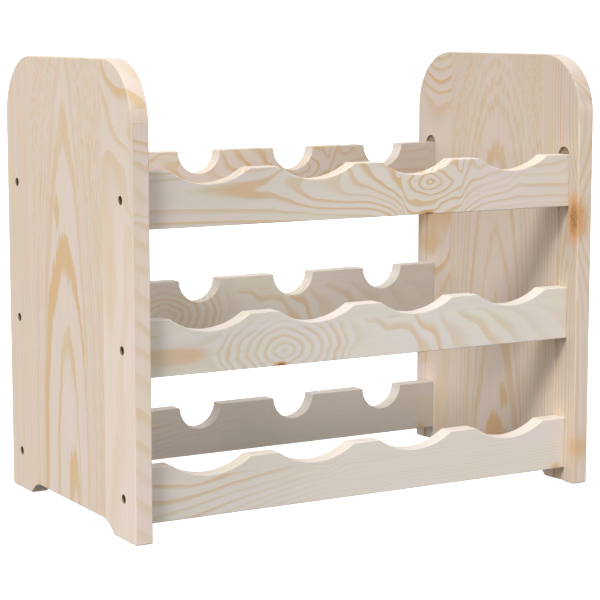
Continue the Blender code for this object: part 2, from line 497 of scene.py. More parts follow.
SWIRL_RAIL = (
    (0, 4.54, 4.88, 5.03, 4.57, 4.00),
    (35, 4.48, 5.03, 4.98, 4.86, 4.06),
    (55, 4.59, 5.02, 5.29, 5.08, 4.30),
    (75, 5.00, 5.48, 5.76, 5.66, 5.50),
    (90, 5.73, 6.58, 7.26, 6.95, 6.10),
    (100, 6.63, 8.09, 8.59, 7.81, 6.97),
    (110, 8.36, 9.01, 8.73, 8.27, 7.44),
    (120, 9.30, 9.46, 9.22, 8.59, 7.67),
    (132, 9.51, 9.47, 9.24, 8.58, 7.50),
    (143, 7.83, 8.95, 8.82, 8.49, 7.70),
    (155, 6.00, 7.31, 8.15, 8.03, 7.80),
    (168, 5.11, 5.66, 6.72, 7.27, 7.06),
    (180, 4.62, 5.04, 5.58, 6.01, 5.92),
    (195, 4.39, 4.62, 5.10, 4.95, 4.63),
    (215, 4.36, 4.43, 4.53, 4.38, 3.73),
    (240, 4.39, 4.58, 4.45, 3.91, 3.14),
    (262, 4.08, 3.83, 3.34, 2.73, 2.33),
    (285, 2.66, 2.36, 2.21, 1.77, 1.61),
    (310, 1.81, 1.67, 1.49, 1.01, 0.19),
    (335, 1.13, 0.78, 0.38, -0.05, -0.97),
    (365, 0.01, -0.41, -0.65, -0.97, -1.71),
    (410, -1.74, -1.68, -1.90, -2.17, -2.44),
)
STRAIGHT_RAIL = (
    (0, 1.67, 2.51, 2.98, 3.95, 5.02),
    (30, 1.22, 2.19, 3.12, 3.84, 5.12),
    (60, 0.44, 1.45, 2.56, 3.68, 4.44),
    (90, -0.89, 0.49, 1.84, 3.01, 4.10),
    (120, -2.42, -0.75, 0.98, 2.48, 3.45),
    (155, -4.54, -2.08, -0.25, 1.60, 3.59),
    (200, -8.13, -4.86, -1.80, 0.42, 3.11),
    (240, -9.26, -6.33, -3.40, -0.47, 2.44),
    (300, -10.19, -7.25, -4.32, -1.41, 1.52),
    (350, -10.99, -8.06, -5.13, -2.19, 0.74),
    (410, -11.91, -8.98, -6.04, -3.12, -0.19),
)
NARROW_STAVE = (
    (0, 0.73, -0.20, -0.48, -0.48),
    (60, 0.67, 0.16, -0.15, -0.38),
    (120, 0.20, 0.33, -0.14, -0.38),
    (180, 0.59, 0.93, 0.19, -0.15),
    (215, 0.94, 1.08, 0.34, -0.10),
    (250, 0.99, 0.98, 0.39, 0.41),
    (290, 1.14, 0.95, 1.08, 1.51),
    (330, 1.46, 2.23, 2.69, 2.93),
    (370, 2.97, 3.69, 3.86, 3.84),
    (410, 3.98, 4.07, 4.09, 4.25),
    (460, 4.32, 4.53, 4.60, 4.33),
    (505, 4.77, 5.05, 4.91, 4.24),
    (530, 6.38, 6.78, 6.36, 5.26),
    (560, 9.14, 9.56, 9.11, 5.99),
)
# Arches of the flame: top, fill, axis, then the left and the right half-width, outer climb,
# inner climb and flank, then how blunt the top is and how strong the ring is.
FLAME = (
    (410, 30, 124, (54, 110, 110, 2.2), (48, 150, 150, 2.2), 1.0, 0.45),
    (341, 32, 122, (53, 110, 120, 2.6), (50, 135, 120, 2.6), 0.80, 0.62),
    (234, 32, 121, (46, 46, 57, 4.5), (45, 60, 44, 2.8), 0.85, 1.0),
    (158, 22, 127, (28, 50, 54, 3.5), (30, 100, 90, 2.4), 0.7, 0.75),
    (58, 34, 135, (12, 18, 30, 4.0), (14, 25, 25, 3.0), 0.5, 0.9),
)
CROWN = (
    (575, 6, 124, (66, 75, 75, 2.4), (66, 75, 75, 2.4), 0.6, 0.5),
    (557, 6, 124, (61, 75, 75, 2.4), (61, 75, 75, 2.4), 0.6, 0.5),
    (539, 7, 124, (55, 75, 75, 2.6), (55, 75, 75, 2.6), 0.6, 0.6),
    (521, 9, 124, (50, 75, 75, 2.8), (50, 75, 75, 2.8), 0.6, 0.55),
    (486, 20, 124, (46, 85, 85, 3.0), (46, 85, 85, 3.0), 0.75, 0.7),
    (410, 14, 124, (54, 110, 110, 2.6), (48, 150, 150, 2.6), 0.9, 0.55),
    (341, 32, 122, (53, 110, 120, 2.6), (50, 135, 120, 2.6), 0.80, 0.62),
    (234, 32, 121, (46, 46, 57, 4.5), (45, 60, 44, 2.8), 0.85, 1.0),
)

# Where the left panel's staves meet, in mm from its rear edge, and how the right panel lies in
# the same log.
PLAIN_SEAM = 54.3
SLANTED_SEAM = 196.4
SEAM = 0.3
TURNED_ROUND = 253.0
CUT_HIGHER = 186.0
# The charts of the two lower rails stop under the notches' lips, where narrow rings take over.
CHART_TOP = 34.0
LIP_RING = 1.9
# A chart counts from the middle of each dark line, which ring_bands draws a quarter earlier.
RING_SHIFT = 0.25
# How pointed the closed rings of a swirl are, and how far they waver, in rings.
SWIRL_POINT = 1.75
SWIRL_WAVER = 0.55


def arch_edge(z, top, climb, width, blunt):
    """Half-width of an arch at this height: it opens below its top, then runs straight."""
    rise = 1.0 - ((z * -1.0 + top).math("MAXIMUM", 0.0) / climb * -1.0).math("EXPONENT")
    return rise.math("POWER", blunt) * width


def flame_figure(wood, arches, u, z):
    """Latewood between an outer and an inner arch for each ring, and fine straight rings
    outside them all."""
    jag = wood.noise(1.6, 30.0, 0.7, 2.0, 0.6) * 20.0 + wood.noise(8.0, 40.0, 1.9, 1.0) * 9.0
    sway = wood.noise(26.0, 70.0, 2.3, 2.0, 0.55) * 5.0 + wood.noise(2.2, 16.0, 2.9, 1.0) * 1.4
    height = z + jag
    late = None
    fine = None
    for top, fill, axis, left, right, blunt, strength in arches:
        t = u - float(axis) + sway
        reach = t.math("ABSOLUTE")
        if left == right:
            width, climb, inner_climb, flank = left
        else:
            to_right = t.ramp(-5.0, 5.0)
            width, climb, inner_climb, flank = (blend(to_right, b, a) for a, b in zip(left, right))
        outer = arch_edge(height, top, climb, width, blunt)
        inner = arch_edge(height, top - fill, inner_climb, width - flank, blunt)
        inner = inner - height.above(top - fill).math("MINIMUM", 4.0)
        band = (outer - reach).ramp(0.2, 1.4) * (1.0 - (inner - reach).ramp(-2.2, 2.6)) * strength
        late = band if late is None else late.math("MAXIMUM", band)
        if fine is None:
            beyond = reach - outer
            rings = beyond / 3.8 + wood.noise(14.0, 160.0, 3.1, 1.0) * 0.35
            fine = ring_bands(wood.tree, rings, 0.25, 0.75) * beyond.ramp(0.5, 3.0) * 0.75
    # One stray patch of latewood lies above the second arch.
    patch = (u + sway - 107.0).bell(4.6) * (height - 249.0).bell(8.0)
    return late.math("MAXIMUM", fine).math("MAXIMUM", patch.ramp(0.30, 0.50) * 0.9)


def panel_figure(right):
    """A glued-up panel: a broad flame between two narrow staves. The right panel shows the
    same log turned round and cut higher up."""

    def figure(wood):
        u = TURNED_ROUND - wood.across if right else wood.across
        z = wood.along + CUT_HIGHER if right else wood.along
        flame = flame_figure(wood, CROWN if right else FLAME, u, z - wood.deep * 1.4)

        drift = wood.noise(18.0, 60.0, 4.7, 2.0) * 0.22
        edge_turn = u.above(249.6) * (z / 46.0)
        slanted = charted_rings(wood, NARROW_STAVE, z, (u - 196.5) / 55.0) - RING_SHIFT
        slanted = slanted + drift + wood.deep / 34.0 + edge_turn
        slanted = ring_bands(wood.tree, slanted, 0.45, 0.80)
        slanted = slanted * (0.55 + z.ramp(285.0, 320.0) * 0.40)

        plain = u / 4.1 + wood.deep / 7.0 + wood.noise(20.0, 260.0, 5.3, 1.0) * 0.8
        if right:
            round_knot = (z - 420.0).bell(34.0) * (u - 7.5).bell(13.0)
            plain = plain + round_knot * 3.2
        plain = ring_bands(wood.tree, plain, 0.30, 0.75) * 0.68

        in_plain = 1.0 - u.ramp(PLAIN_SEAM, PLAIN_SEAM + SEAM)
        in_slanted = u.ramp(SLANTED_SEAM, SLANTED_SEAM + SEAM)
        late = blend(in_plain, plain, blend(in_slanted, slanted, flame))
        knots = []
        if right:
            core, halo = knot_at(wood, 234.0, 246.0, 0.0, 24.0, 9.0, 15.0)
            knots = [(core * (0.45 + wood.noise(1.6, 4.0, 6.1, 1.0).ramp(-0.1, 0.3) * 0.5), halo)]
            corner = (wood.along - 33.0).bell(9.0) * (wood.across - 250.0).bell(4.0)
            low_patch = (wood.along - 59.0).bell(7.0) * (wood.across - 144.0).bell(2.6)
            late = late.math("MAXIMUM", corner * 0.9).math("MAXIMUM", low_patch.ramp(0.3, 0.6) * 0.8)
        return late, knots

    return figure


def over_swirl(wood, rings, middle, reach, peak, leave):
    """Closed rings round a centre, a little pointed at both ends, running out into the
    charted ones. reach is how far one ring goes along and across."""
    long = ((wood.along - middle[0]).math("ABSOLUTE") / reach[0]).math("POWER", SWIRL_POINT)
    wide = ((wood.across - middle[1]).math("ABSOLUTE") / reach[1]).math("POWER", SWIRL_POINT)
    far = (long + wide + 0.02).math("POWER", 1.0 / SWIRL_POINT)
    far = far + wood.noise(13.0, 26.0, 2.1, 1.0) * SWIRL_WAVER
    return blend(far.ramp(*leave), rings, peak - far)


def rings_under_lips(wood, chart):
    """Charted rings with narrow level ones above them."""
    low = wood.across.math("MINIMUM", CHART_TOP)
    rings = charted_rings(wood, chart, wood.along, low / CHART_TOP)
    return rings + wood.across.above(CHART_TOP - 1.0) / LIP_RING


def flame_rail(wood):
    """A flame that runs into a swirl over a knot in the lower edge."""
    drift = wood.noise(14.0, 60.0, 4.7, 1.0) * 0.07
    rings = charted_rings(wood, FLAME_RAIL, wood.along, wood.across / 45.0)
    rings = over_swirl(wood, rings, (266.0, 27.0), (9.0, 4.8), 11.4, (2.6, 4.2))
    late = ring_bands(wood.tree, rings + drift + wood.deep * 0.12 - RING_SHIFT, 0.52, 0.80)
    strong = 0.78 + (wood.along - 255.0).bell(36.0) * 0.35 - wood.along.ramp(290.0, 330.0) * 0.30
    return late * strong, [knot_at(wood, 264.0, 0.0, 2.0, 9.0, 3.6, 12.0)]


def swirl_rail(wood):
    """Closed rings over a dark knot in the lower edge, then broad slanting bands."""
    drift = wood.noise(14.0, 60.0, 4.7, 1.0) * 0.07
    rings = rings_under_lips(wood, SWIRL_RAIL)
    rings = over_swirl(wood, rings, (126.0, 13.0), (8.4, 5.4), 13.2, (6.4, 8.6))
    late = ring_bands(wood.tree, rings + drift + wood.deep * 0.12 - RING_SHIFT, 0.36, 0.80)
    strong = (0.62 - wood.along.ramp(345.0, 380.0) * 0.30) * (1.0 - wood.across.ramp(27.0, 36.0) * 0.65)
    wedge = (wood.across - 15.0).bell(5.5) * (1.0 - wood.along.ramp(30.0, 78.0))
    late = (late * strong).math("MAXIMUM", wedge.ramp(0.1, 0.7) * 0.62)
    return late, [knot_at(wood, 122.5, 0.0, 1.0, 7.0, 4.0, 10.0)]


def straight_rail(wood):
    """Close grain that rises a little towards the right."""
    drift = wood.noise(12.0, 80.0, 4.7, 1.0) * 0.15
    rings = rings_under_lips(wood, STRAIGHT_RAIL)
    late = ring_bands(wood.tree, rings + drift + wood.deep * 0.15 - RING_SHIFT, 0.48, 0.80)
    strong = 0.26 + (1.0 - wood.along.ramp(60.0, 170.0)) * 0.42
    strong = strong * (1.0 - wood.across.ramp(31.0, 35.0) * 0.5)
    spot = (wood.along - 401.0).bell(4.5) * (wood.across - 1.5).bell(3.0)
    return (late * strong).math("MAXIMUM", spot * 0.9), []


FIGURES = {"bottom": straight_rail, "middle": swirl_rail, "top": flame_rail}


def left_panel_tone(wood):
    """Its front stave is the palest, most of all low down."""
    front_stave = wood.across.ramp(SLANTED_SEAM, SLANTED_SEAM + SEAM)
    return 1.0 + front_stave * (1.0 - wood.along.ramp(200.0, 320.0)) * 0.08


def right_panel_painted_shade(wood):
    """Painted shade: its faces, but not its planed front edge, are darkened, a little low down and most of
    all high up.
    """
    return 1.0 - (251.3 - wood.across).ramp(0.0, 2.0) * (0.04 + wood.along.ramp(30.0, 190.0) * 0.15)


def rear_rail_painted_shade(wood):
    """Painted shade: the rear rails are darkened towards their right ends, where shade falls on them."""
    return 1.0 - wood.along.ramp(120.0, 400.0) * 0.28


def front_rail_painted_shade(wood):
    """Painted shade: the front rails are darkened at their left ends, where the left panel shades them."""
    return 0.91 + wood.along.ramp(40.0, 220.0) * 0.09


# Painted shade for the front and the rear rails.
RAIL_PAINTED_SHADES = {"front": front_rail_painted_shade, "rear": rear_rail_painted_shade}


def tint(colour, factors):
    return solid([min(1.0, c * f) for c, f in zip(colour, factors)])


def finished_pine(name, colours, axes, figure, tone_and_painted_shade, paleness, seed, stained=None):
    """Bare planed pine. axes turns the object's own mm into a place in the board, figure gives
    the latewood and the knots, tone darkens or lightens the wood along the board, as the wood's
    own tone on the left panel and as painted shade elsewhere, paleness goes from 0, warm, to 1,
    whitish, and the last argument, if given, masks where painted shade darkens the wood."""
    look = bpy.data.materials.new(name)
    look.use_nodes = True
    tree = look.node_tree
    shader = tree.nodes["Principled BSDF"]
    place = tree.nodes.new("ShaderNodeTexCoord").outputs["Object"]
    parts = tree.nodes.new("ShaderNodeSeparateXYZ")
    tree.links.new(place, parts.inputs[0])
    room = [Signal(tree, socket) * MM for socket in parts.outputs]
    along, across, deep, grain_axis = axes(*room)
    wood = Wood(tree, along, across, deep, seed)
    late, knots = figure(wood)

    fibre = wood.noise(0.8, 60.0, 7.3, 3.0, 0.65)
    streak = wood.noise(4.5, 240.0, 1.7, 2.0, 0.5)
    cloud = wood.noise(20.0, 90.0, 5.9, 2.0, 0.5)
    warmth = wood.noise(26.0, 60.0, 8.1, 1.0, 0.5)
    late = late * (1.0 + warmth * 0.35 + fibre * 0.25)

    base = [w + (p - w) * paleness for w, p in zip(colours.earlywood, colours.pale_earlywood)]
    early = mixed(
        tree,
        cloud.ramp(-0.45, 0.45),
        tint(base, (0.985, 1.005, 0.955)),
        tint(base, (1.015, 0.990, 1.035)),
    )
    ring = mixed(
        tree,
        warmth.ramp(-0.4, 0.4),
        tint(colours.latewood, (0.95, 1.04, 1.02)),
        tint(colours.latewood, (1.02, 0.98, 0.97)),
    )
    ring = mixed(tree, late.ramp(0.20, 0.58), solid(colours.faint_latewood), ring)
    colour = mixed(tree, late.math("MINIMUM", 1.0), early, ring)
    # The tone is the left panel's own paler stave, and painted shade on the right panel and on the rails.
    shade = (fibre * 0.045 + streak * 0.045 + 1.0) * tone_and_painted_shade(wood)
    colour = mixed(tree, 1.0, colour, grey(tree, shade), "MULTIPLY")
    for core, halo in knots:
        colour = mixed(tree, halo * 0.85, colour, tint(colours.latewood, (0.95, 0.72, 0.50)))
        colour = mixed(tree, core, colour, solid(colours.knot))

    facing = tree.nodes.new("ShaderNodeNewGeometry").outputs["Normal"]
    dot = tree.nodes.new("ShaderNodeVectorMath")
    dot.operation = "DOT_PRODUCT"
    tree.links.new(facing, dot.inputs[0])
    dot.inputs[1].default_value = grain_axis
    end = Signal(tree, dot.outputs["Value"]).math("ABSOLUTE").ramp(0.6, 0.95)
    pores = wood.noise(0.35, 8.0, 9.1, 1.0, 0.5)
    # End-grain faces, the panels' lit tops among them, take the whitened end-grain colour: partly the sawn
    # wood, partly a painted highlight.
    end_grain_and_painted_highlight = mixed(tree, 0.75, colour, solid(colours.end_grain_and_painted_highlight))
    end_grain_and_painted_highlight = mixed(tree, 1.0, end_grain_and_painted_highlight, grey(tree, pores * 0.06 + 0.98), "MULTIPLY")
    colour = mixed(tree, end, colour, end_grain_and_painted_highlight)
    # Painted shade: the masked places, the screw holes and the groove tops, are darkened to a deep brown.
    if stained is not None:
        colour = mixed(tree, stained(*room), colour, tint(colours.knot, (0.45, 0.75, 0.75)))
    tree.links.new(colour, shader.inputs["Base Color"])

    feed(tree, 0.60 + fibre * 0.05 - late * 0.06 + end * 0.08, shader.inputs["Roughness"])
    shader.inputs["Specular IOR Level"].default_value = 0.30
    bump = tree.nodes.new("ShaderNodeBump")
    bump.inputs["Strength"].default_value = 0.35
    bump.inputs["Distance"].default_value = 0.0004
    feed(tree, fibre * 0.35 + late * 0.5 + pores * 0.25, bump.inputs["Height"])
    tree.links.new(bump.outputs[0], shader.inputs["Normal"])
    return look


# ---------------------------------------------------------------- side panels


def panel_outline(sizes):
    """Outline of a side panel as (depth, height)."""
    low, high = PANEL_BOX
    front, rear = low.y, high.y
    shoulder = high.z - sizes.corner_radius
    turn = math.acos((sizes.cutout_radius - sizes.cutout_height) / sizes.cutout_radius)
    reach = sizes.cutout_radius * math.sin(turn)
    below = sizes.cutout_height - sizes.cutout_radius
    inner = front + sizes.foot_length
    up = math.pi / 2
    points = [(front, 0.0), (inner, 0.0)]
    points += arc((inner + reach, below), sizes.cutout_radius, up + turn, up, CUTOUT_STEPS)[1:]
    points += arc((-inner - reach, below), sizes.cutout_radius, up, up - turn, CUTOUT_STEPS)[:-1]
    points += [(-inner, 0.0), (rear, 0.0)]
    points += arc((rear - sizes.corner_radius, shoulder), sizes.corner_radius, 0, up, CORNER_STEPS)
    points += arc((front + sizes.corner_radius, shoulder), sizes.corner_radius, up, math.pi, CORNER_STEPS)
    return points


def rail_middle_depth(row):
    low, high = RAIL_BOX
    return row * abs(low.y + high.y) / 2


def groove_cutter(name, side, row, sizes):
    """A groove with a round top and softened lips, open at the floor."""
    face = side * min(abs(PANEL_BOX[0].x), abs(PANEL_BOX[1].x))
    middle = rail_middle_depth(row)
    half = (RAIL_BOX[1].y - RAIL_BOX[0].y) / 2 + sizes.groove_clearance
    lip = sizes.groove_clearance
    loops = []
    for deep, spread in ((sizes.groove_depth, 0.0), (lip, 0.0), (0.0, lip), (-0.004, lip + 0.004)):
        x = face + side * deep
        wide = half + spread
        top = arc((middle, sizes.groove_top - half), wide, 0.0, math.pi, GROOVE_STEPS)
        outline = [(middle - wide, -0.01), (middle + wide, -0.01), *top]
        loops.append([(x, y, z) for y, z in outline])
    return skin(name, loops)


def ring_of(placing, radius, height):
    """A circle round the local Z axis at this height."""
    return [
        placing @ Vector((radius * math.cos(angle), radius * math.sin(angle), height))
        for angle in (math.tau * i / ROUND_STEPS for i in range(ROUND_STEPS))
    ]


def screw_placing(side, row, height):
    """Stands on the outer face over a screw, with local -Z pointing into the rack."""
    start = Vector((side * FRAME_BOX[1].x, rail_middle_depth(row), height))
    return Matrix.Translation(start) @ Matrix.Rotation(side * math.pi / 2, 4, "Y")


def screw_height(tier):
    low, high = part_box(f"screw_left_front_{tier}")
    return (low.z + high.z) / 2


HEAD_RADIUS = (SCREW_BOX[1].z - SCREW_BOX[0].z) / 2
HEAD_RIM = 0.0004
SHANK_RADIUS = 0.00175
HOLE_RADIUS = HEAD_RADIUS + 0.0003
LIP = 0.00025


def hole_cutter(name, side, row, tier, sizes):
    """A straight mouth with a broken edge, a countersink and a clearance bore."""
    placing = screw_placing(side, row, screw_height(tier))
    seat = -sizes.head_recess - HEAD_RIM
    bore = SHANK_RADIUS + 0.0003
    profile = (
        (HOLE_RADIUS + LIP + 0.002, 0.002),
        (HOLE_RADIUS + LIP, 0.0),
        (HOLE_RADIUS, -LIP),
        (HOLE_RADIUS, seat),
        (bore, seat - (HOLE_RADIUS - bore)),
        (bore, -0.03),
    )
    return skin(name, [ring_of(placing, radius, height) for radius, height in profile])


def panel_axes(box):
    """A side panel: along runs up, across from the rear edge to the front, deep from its left
    face."""

    def axes(x, y, z):
        return z, box[1].y * MM - y, x - box[0].x * MM, (0, 0, 1)

    return axes


def recess_painted_shade(x, y, z):
    """Painted shade: darkens the wood inside the screw holes and at the round tops of the grooves, where
    shade falls.
    """
    into_panel = x.math("ABSOLUTE") + PANEL_BOX[1].x * MM
    off_row = (y.math("ABSOLUTE") - rail_middle_depth(1) * MM).math("ABSOLUTE")
    holes = None
    for tier in TIERS:
        far = (off_row.squared() + (z - screw_height(tier) * MM).squared()).math("SQRT")
        hole = 1.0 - far.ramp(HOLE_RADIUS * MM - 0.1, HOLE_RADIUS * MM + 0.2)
        holes = hole if holes is None else holes.math("MAXIMUM", hole)
    holes = holes * into_panel.ramp(3.0, 3.5)
    grooves = into_panel.ramp(0.1, 0.4) * (1.0 - into_panel.ramp(2.1, 2.4))
    grooves = grooves * z.ramp(285.0, 290.0) * (1.0 - z.ramp(296.3, 296.5))
    grooves = grooves * (1.0 - off_row.ramp(7.7, 7.8))
    return holes.math("MAXIMUM", grooves * 0.7)


class WINERACK_OT_side_panels(bpy.types.Operator):
    """Builds the two side panels with their grooves and screw holes"""

    bl_idname = "wine_rack.side_panels"
    bl_label = "Side panels"

    def execute(self, context):
        sizes = context.scene.rack_sizes
        colours = context.scene.rack_colours
        thickness = PANEL_BOX[1].x - PANEL_BOX[0].x
        across = Matrix(((0, 0, 1, 0), (1, 0, 0, 0), (0, 1, 0, 0), (0, 0, 0, 1)))
        for side, name, box, tone_and_painted_shade, seed in (
            (-1, "left", PANEL_BOX, left_panel_tone, 11.0),
            (1, "right", RIGHT_PANEL_BOX, right_panel_painted_shade, 17.0),
        ):
            figure = panel_figure(side > 0)
            look = finished_pine(
                f"pine_{name}_panel", colours, panel_axes(box), figure, tone_and_painted_shade, 0.0, seed, recess_painted_shade
            )
            middle = (box[0].x + box[1].x) / 2
            placing = Matrix.Translation((middle, 0, 0)) @ across
            panel = board(
                f"{name}_panel_of_pine", panel_outline(sizes), thickness, sizes.panel_arris, 4, placing
            )
            cutters = [groove_cutter("groove", side, row, sizes) for row in (-1, 1)]
            for row in (-1, 1):
                cutters += [hole_cutter("screw_hole", side, row, tier, sizes) for tier in TIERS]
            carve(panel, cutters)
            dress(panel, look, "pine_panel", f"{name}_side_panel")
        return {"FINISHED"}


# ---------------------------------------------------------------- rails


def rail_outline(radius, depth, rounding, sizes):
    """Outline of a rail as (width, height) from its lower edge, with notches in its top."""
    low, high = RAIL_BOX
    half_length = (high.x - low.x) / 2
    height = high.z - low.z
    turn = math.acos((radius - depth) / radius)
    down = -math.pi / 2
    rough = [(half_length, height)]
    for index in reversed(range(NOTCHES)):
        middle = (index - (NOTCHES - 1) / 2) * sizes.notch_pitch
        rough.append(arc((middle, height + radius - depth), radius, down + turn, down - turn, NOTCH_STEPS))
    rough.append((-half_length, height))
    points = [(-half_length, 0.0), (half_length, 0.0), rough[0]]
    before = rough[0]
    for index in range(1, NOTCHES + 1):
        notch = rough[index]
        after = rough[index + 1]
        beyond = after[0] if isinstance(after, list) else after
        points += fillet(before, notch[0], notch[1], rounding, FILLET_STEPS)
        points += notch[1:-1]
        points += fillet(notch[-2], notch[-1], beyond, rounding, FILLET_STEPS)
        before = notch[-1]
    return [*points, rough[-1]]


PALENESS = {
    "front": {"bottom": 0.9, "middle": 1.0, "top": 0.6},
    "rear": {"bottom": 0.9, "middle": 0.95, "top": 0.2},
}


def rail_axes(base, face, slide):
    """A rail: along from its left end, across from its lower edge, deep from its front face."""

    def axes(x, y, z):
        return x + (slide - PANEL_BOX[1].x * MM), z - base, y - face, (1, 0, 0)

    return axes


def pilot_cutter(name, side, row, tier):
    """The blind hole that a screw bites into."""
    placing = screw_placing(side, row, screw_height(tier))
    profile = ((SHANK_RADIUS, -0.010), (SHANK_RADIUS, -0.0385), (0.0004, -0.0395))
    return skin(name, [ring_of(placing, radius, height) for radius, height in profile])


def build_rails(context, row, row_name, radius, depth, rounding):
    sizes = context.scene.rack_sizes
    colours = context.scene.rack_colours
    for tier in TIERS:
        node = f"{row_name}_rail_{tier}"
        low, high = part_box(node)
        middle = (low.y + high.y) / 2
        placing = Matrix.Translation((0, middle, low.z)) @ Matrix.Rotation(math.pi / 2, 4, "X")
        outline = rail_outline(radius, depth, rounding, sizes)
        name = f"{row_name}_{tier}_rail_of_pine"
        rail = board(name, outline, high.y - low.y, sizes.rail_arris, 3, placing)
        carve(rail, [pilot_cutter("pilot_hole", side, row, tier) for side in (-1, 1)])
        seed = 20.0 + 3.0 * TIERS.index(tier) + (row + 1) * 10.0
        slide = 6.0 * (row + 1) / 2
        axes = rail_axes(low.z * MM, low.y * MM, slide)
        paleness = PALENESS[row_name][tier]
        look = finished_pine(
            f"pine_{node}", colours, axes, FIGURES[tier], RAIL_PAINTED_SHADES[row_name], paleness, seed
        )
        dress(rail, look, "pine_rail", node)


class WINERACK_OT_front_rails(bpy.types.Operator):
    """Builds the three front rails, which carry the bottles' bodies"""

    bl_idname = "wine_rack.front_rails"
    bl_label = "Front rails"

    def execute(self, context):
        sizes = context.scene.rack_sizes
        build_rails(context, -1, "front", sizes.body_notch_radius, sizes.body_notch_depth, 0.004)
        return {"FINISHED"}


class WINERACK_OT_rear_rails(bpy.types.Operator):
    """Builds the three rear rails, which carry the bottles' necks"""

    bl_idname = "wine_rack.rear_rails"
    bl_label = "Rear rails"

    def execute(self, context):
        sizes = context.scene.rack_sizes
        build_rails(context, 1, "rear", sizes.neck_notch_radius, sizes.neck_notch_depth, 0.001)
        return {"FINISHED"}


# ---------------------------------------------------------------- screws

SCREW_LENGTH = 0.036
THREAD_PITCH = 0.0018
THREAD_START = 0.0120
THREAD_HEIGHT = 0.00022
THREAD_ROWS = 10
TIP_LENGTH = 0.004


def thread_ring(placing, core, height, lift):
    """A circle round the shank whose radius follows the thread's helix."""
    points = []
    for i in range(ROUND_STEPS):
        share = i / ROUND_STEPS
        phase = (height / THREAD_PITCH + share) % 1.0
        crest = max(0.0, 1.0 - abs(phase - 0.5) / 0.22)
        radius = core + lift * crest
        angle = math.tau * share
        points.append(placing @ Vector((radius * math.cos(angle), radius * math.sin(angle), height)))
    return points


def screw_shape(name, placing, recess):
    """A countersunk, threaded wood screw without its cross recess, its tip along local -Z."""
    top = -recess
    rim = top - HEAD_RIM
    core = SHANK_RADIUS - THREAD_HEIGHT
    loops = [
        ring_of(placing, HEAD_RADIUS - 0.0002, top),
        ring_of(placing, HEAD_RADIUS, top - 0.00015),
        ring_of(placing, HEAD_RADIUS, rim),
        ring_of(placing, SHANK_RADIUS, rim - (HEAD_RADIUS - SHANK_RADIUS)),
        ring_of(placing, SHANK_RADIUS, top - THREAD_START + 0.0008),
    ]
    end = top - SCREW_LENGTH
    start = top - THREAD_START
    rows = round((SCREW_LENGTH - THREAD_START) / THREAD_PITCH * THREAD_ROWS)
    for i in range(rows + 1):
        height = start + (end - start) * i / rows
        taper = min(1.0, max(0.12, (height - end) / TIP_LENGTH))
        loops.append(thread_ring(placing, core * taper, height, THREAD_HEIGHT * taper))
    return skin(name, loops)


def recess_cutter(name, placing, recess, turn):
    """A cross that narrows downwards."""
    loops = []
    for height, span, slot in ((0.001, 0.0019, 0.00062), (-0.0014, 0.0012, 0.00034)):
        loop = []
        for quarter in range(4):
            spin = Matrix.Rotation(turn + quarter * math.pi / 2, 4, "Z")
            for corner in ((span, -slot), (span, slot), (slot, slot)):
                loop.append(placing @ spin @ Vector((*corner, height - recess)))
        loops.append(loop)
    return skin(name, loops)


def bronzed_steel(colours):
    """Bronzed steel, worn a little in scattered patches."""
    look = bpy.data.materials.new("bronzed_steel")
    look.use_nodes = True
    tree = look.node_tree
    shader = tree.nodes["Principled BSDF"]
    place = tree.nodes.new("ShaderNodeTexCoord").outputs["Object"]
    parts = tree.nodes.new("ShaderNodeSeparateXYZ")
    tree.links.new(place, parts.inputs[0])
    x, y, z = (Signal(tree, socket) * MM for socket in parts.outputs)
    mottle = noise(tree, joined(tree, x / 0.9, y / 0.9, z / 0.9), 3.0, 0.6)
    scratch = noise(tree, joined(tree, x / 0.25, y / 0.25, z / 2.5), 2.0, 0.5)
    worn = (mottle * 0.6 + scratch * 0.4).ramp(-0.1, 0.7)
    colour = mixed(
        tree,
        worn,
        solid([c * 0.55 for c in colours.bronze]),
        solid([min(1.0, c * 1.9) for c in colours.bronze]),
    )
    tree.links.new(colour, shader.inputs["Base Color"])
    shader.inputs["Metallic"].default_value = 0.95
    feed(tree, 0.58 + mottle * 0.10 + scratch * 0.06, shader.inputs["Roughness"])
    bump = tree.nodes.new("ShaderNodeBump")
    bump.inputs["Strength"].default_value = 0.3
    bump.inputs["Distance"].default_value = 0.0001
    feed(tree, scratch + mottle * 0.5, bump.inputs["Height"])
    tree.links.new(bump.outputs[0], shader.inputs["Normal"])
    return look


class WINERACK_OT_screws(bpy.types.Operator):
    """Builds the twelve screws, one at each rail end"""

    bl_idname = "wine_rack.screws"
    bl_label = "Screws"

    def execute(self, context):
        sizes = context.scene.rack_sizes
        look = bronzed_steel(context.scene.rack_colours)
        count = 0
        for side, side_name in ((-1, "left"), (1, "right")):
            for row, row_name in ((-1, "front"), (1, "rear")):
                for tier in TIERS:
                    placing = screw_placing(side, row, screw_height(tier))
                    turn = math.radians(37.0 * count)
                    name = f"{side_name}_{row_name}_{tier}_screw"
                    screw = screw_shape(name, placing, sizes.head_recess)
                    carve(screw, [recess_cutter("recess", placing, sizes.head_recess, turn)])
                    dress(screw, look, "bronzed_steel", f"screw_{side_name}_{row_name}_{tier}")
                    count += 1
        return {"FINISHED"}


# ---------------------------------------------------------------- studio

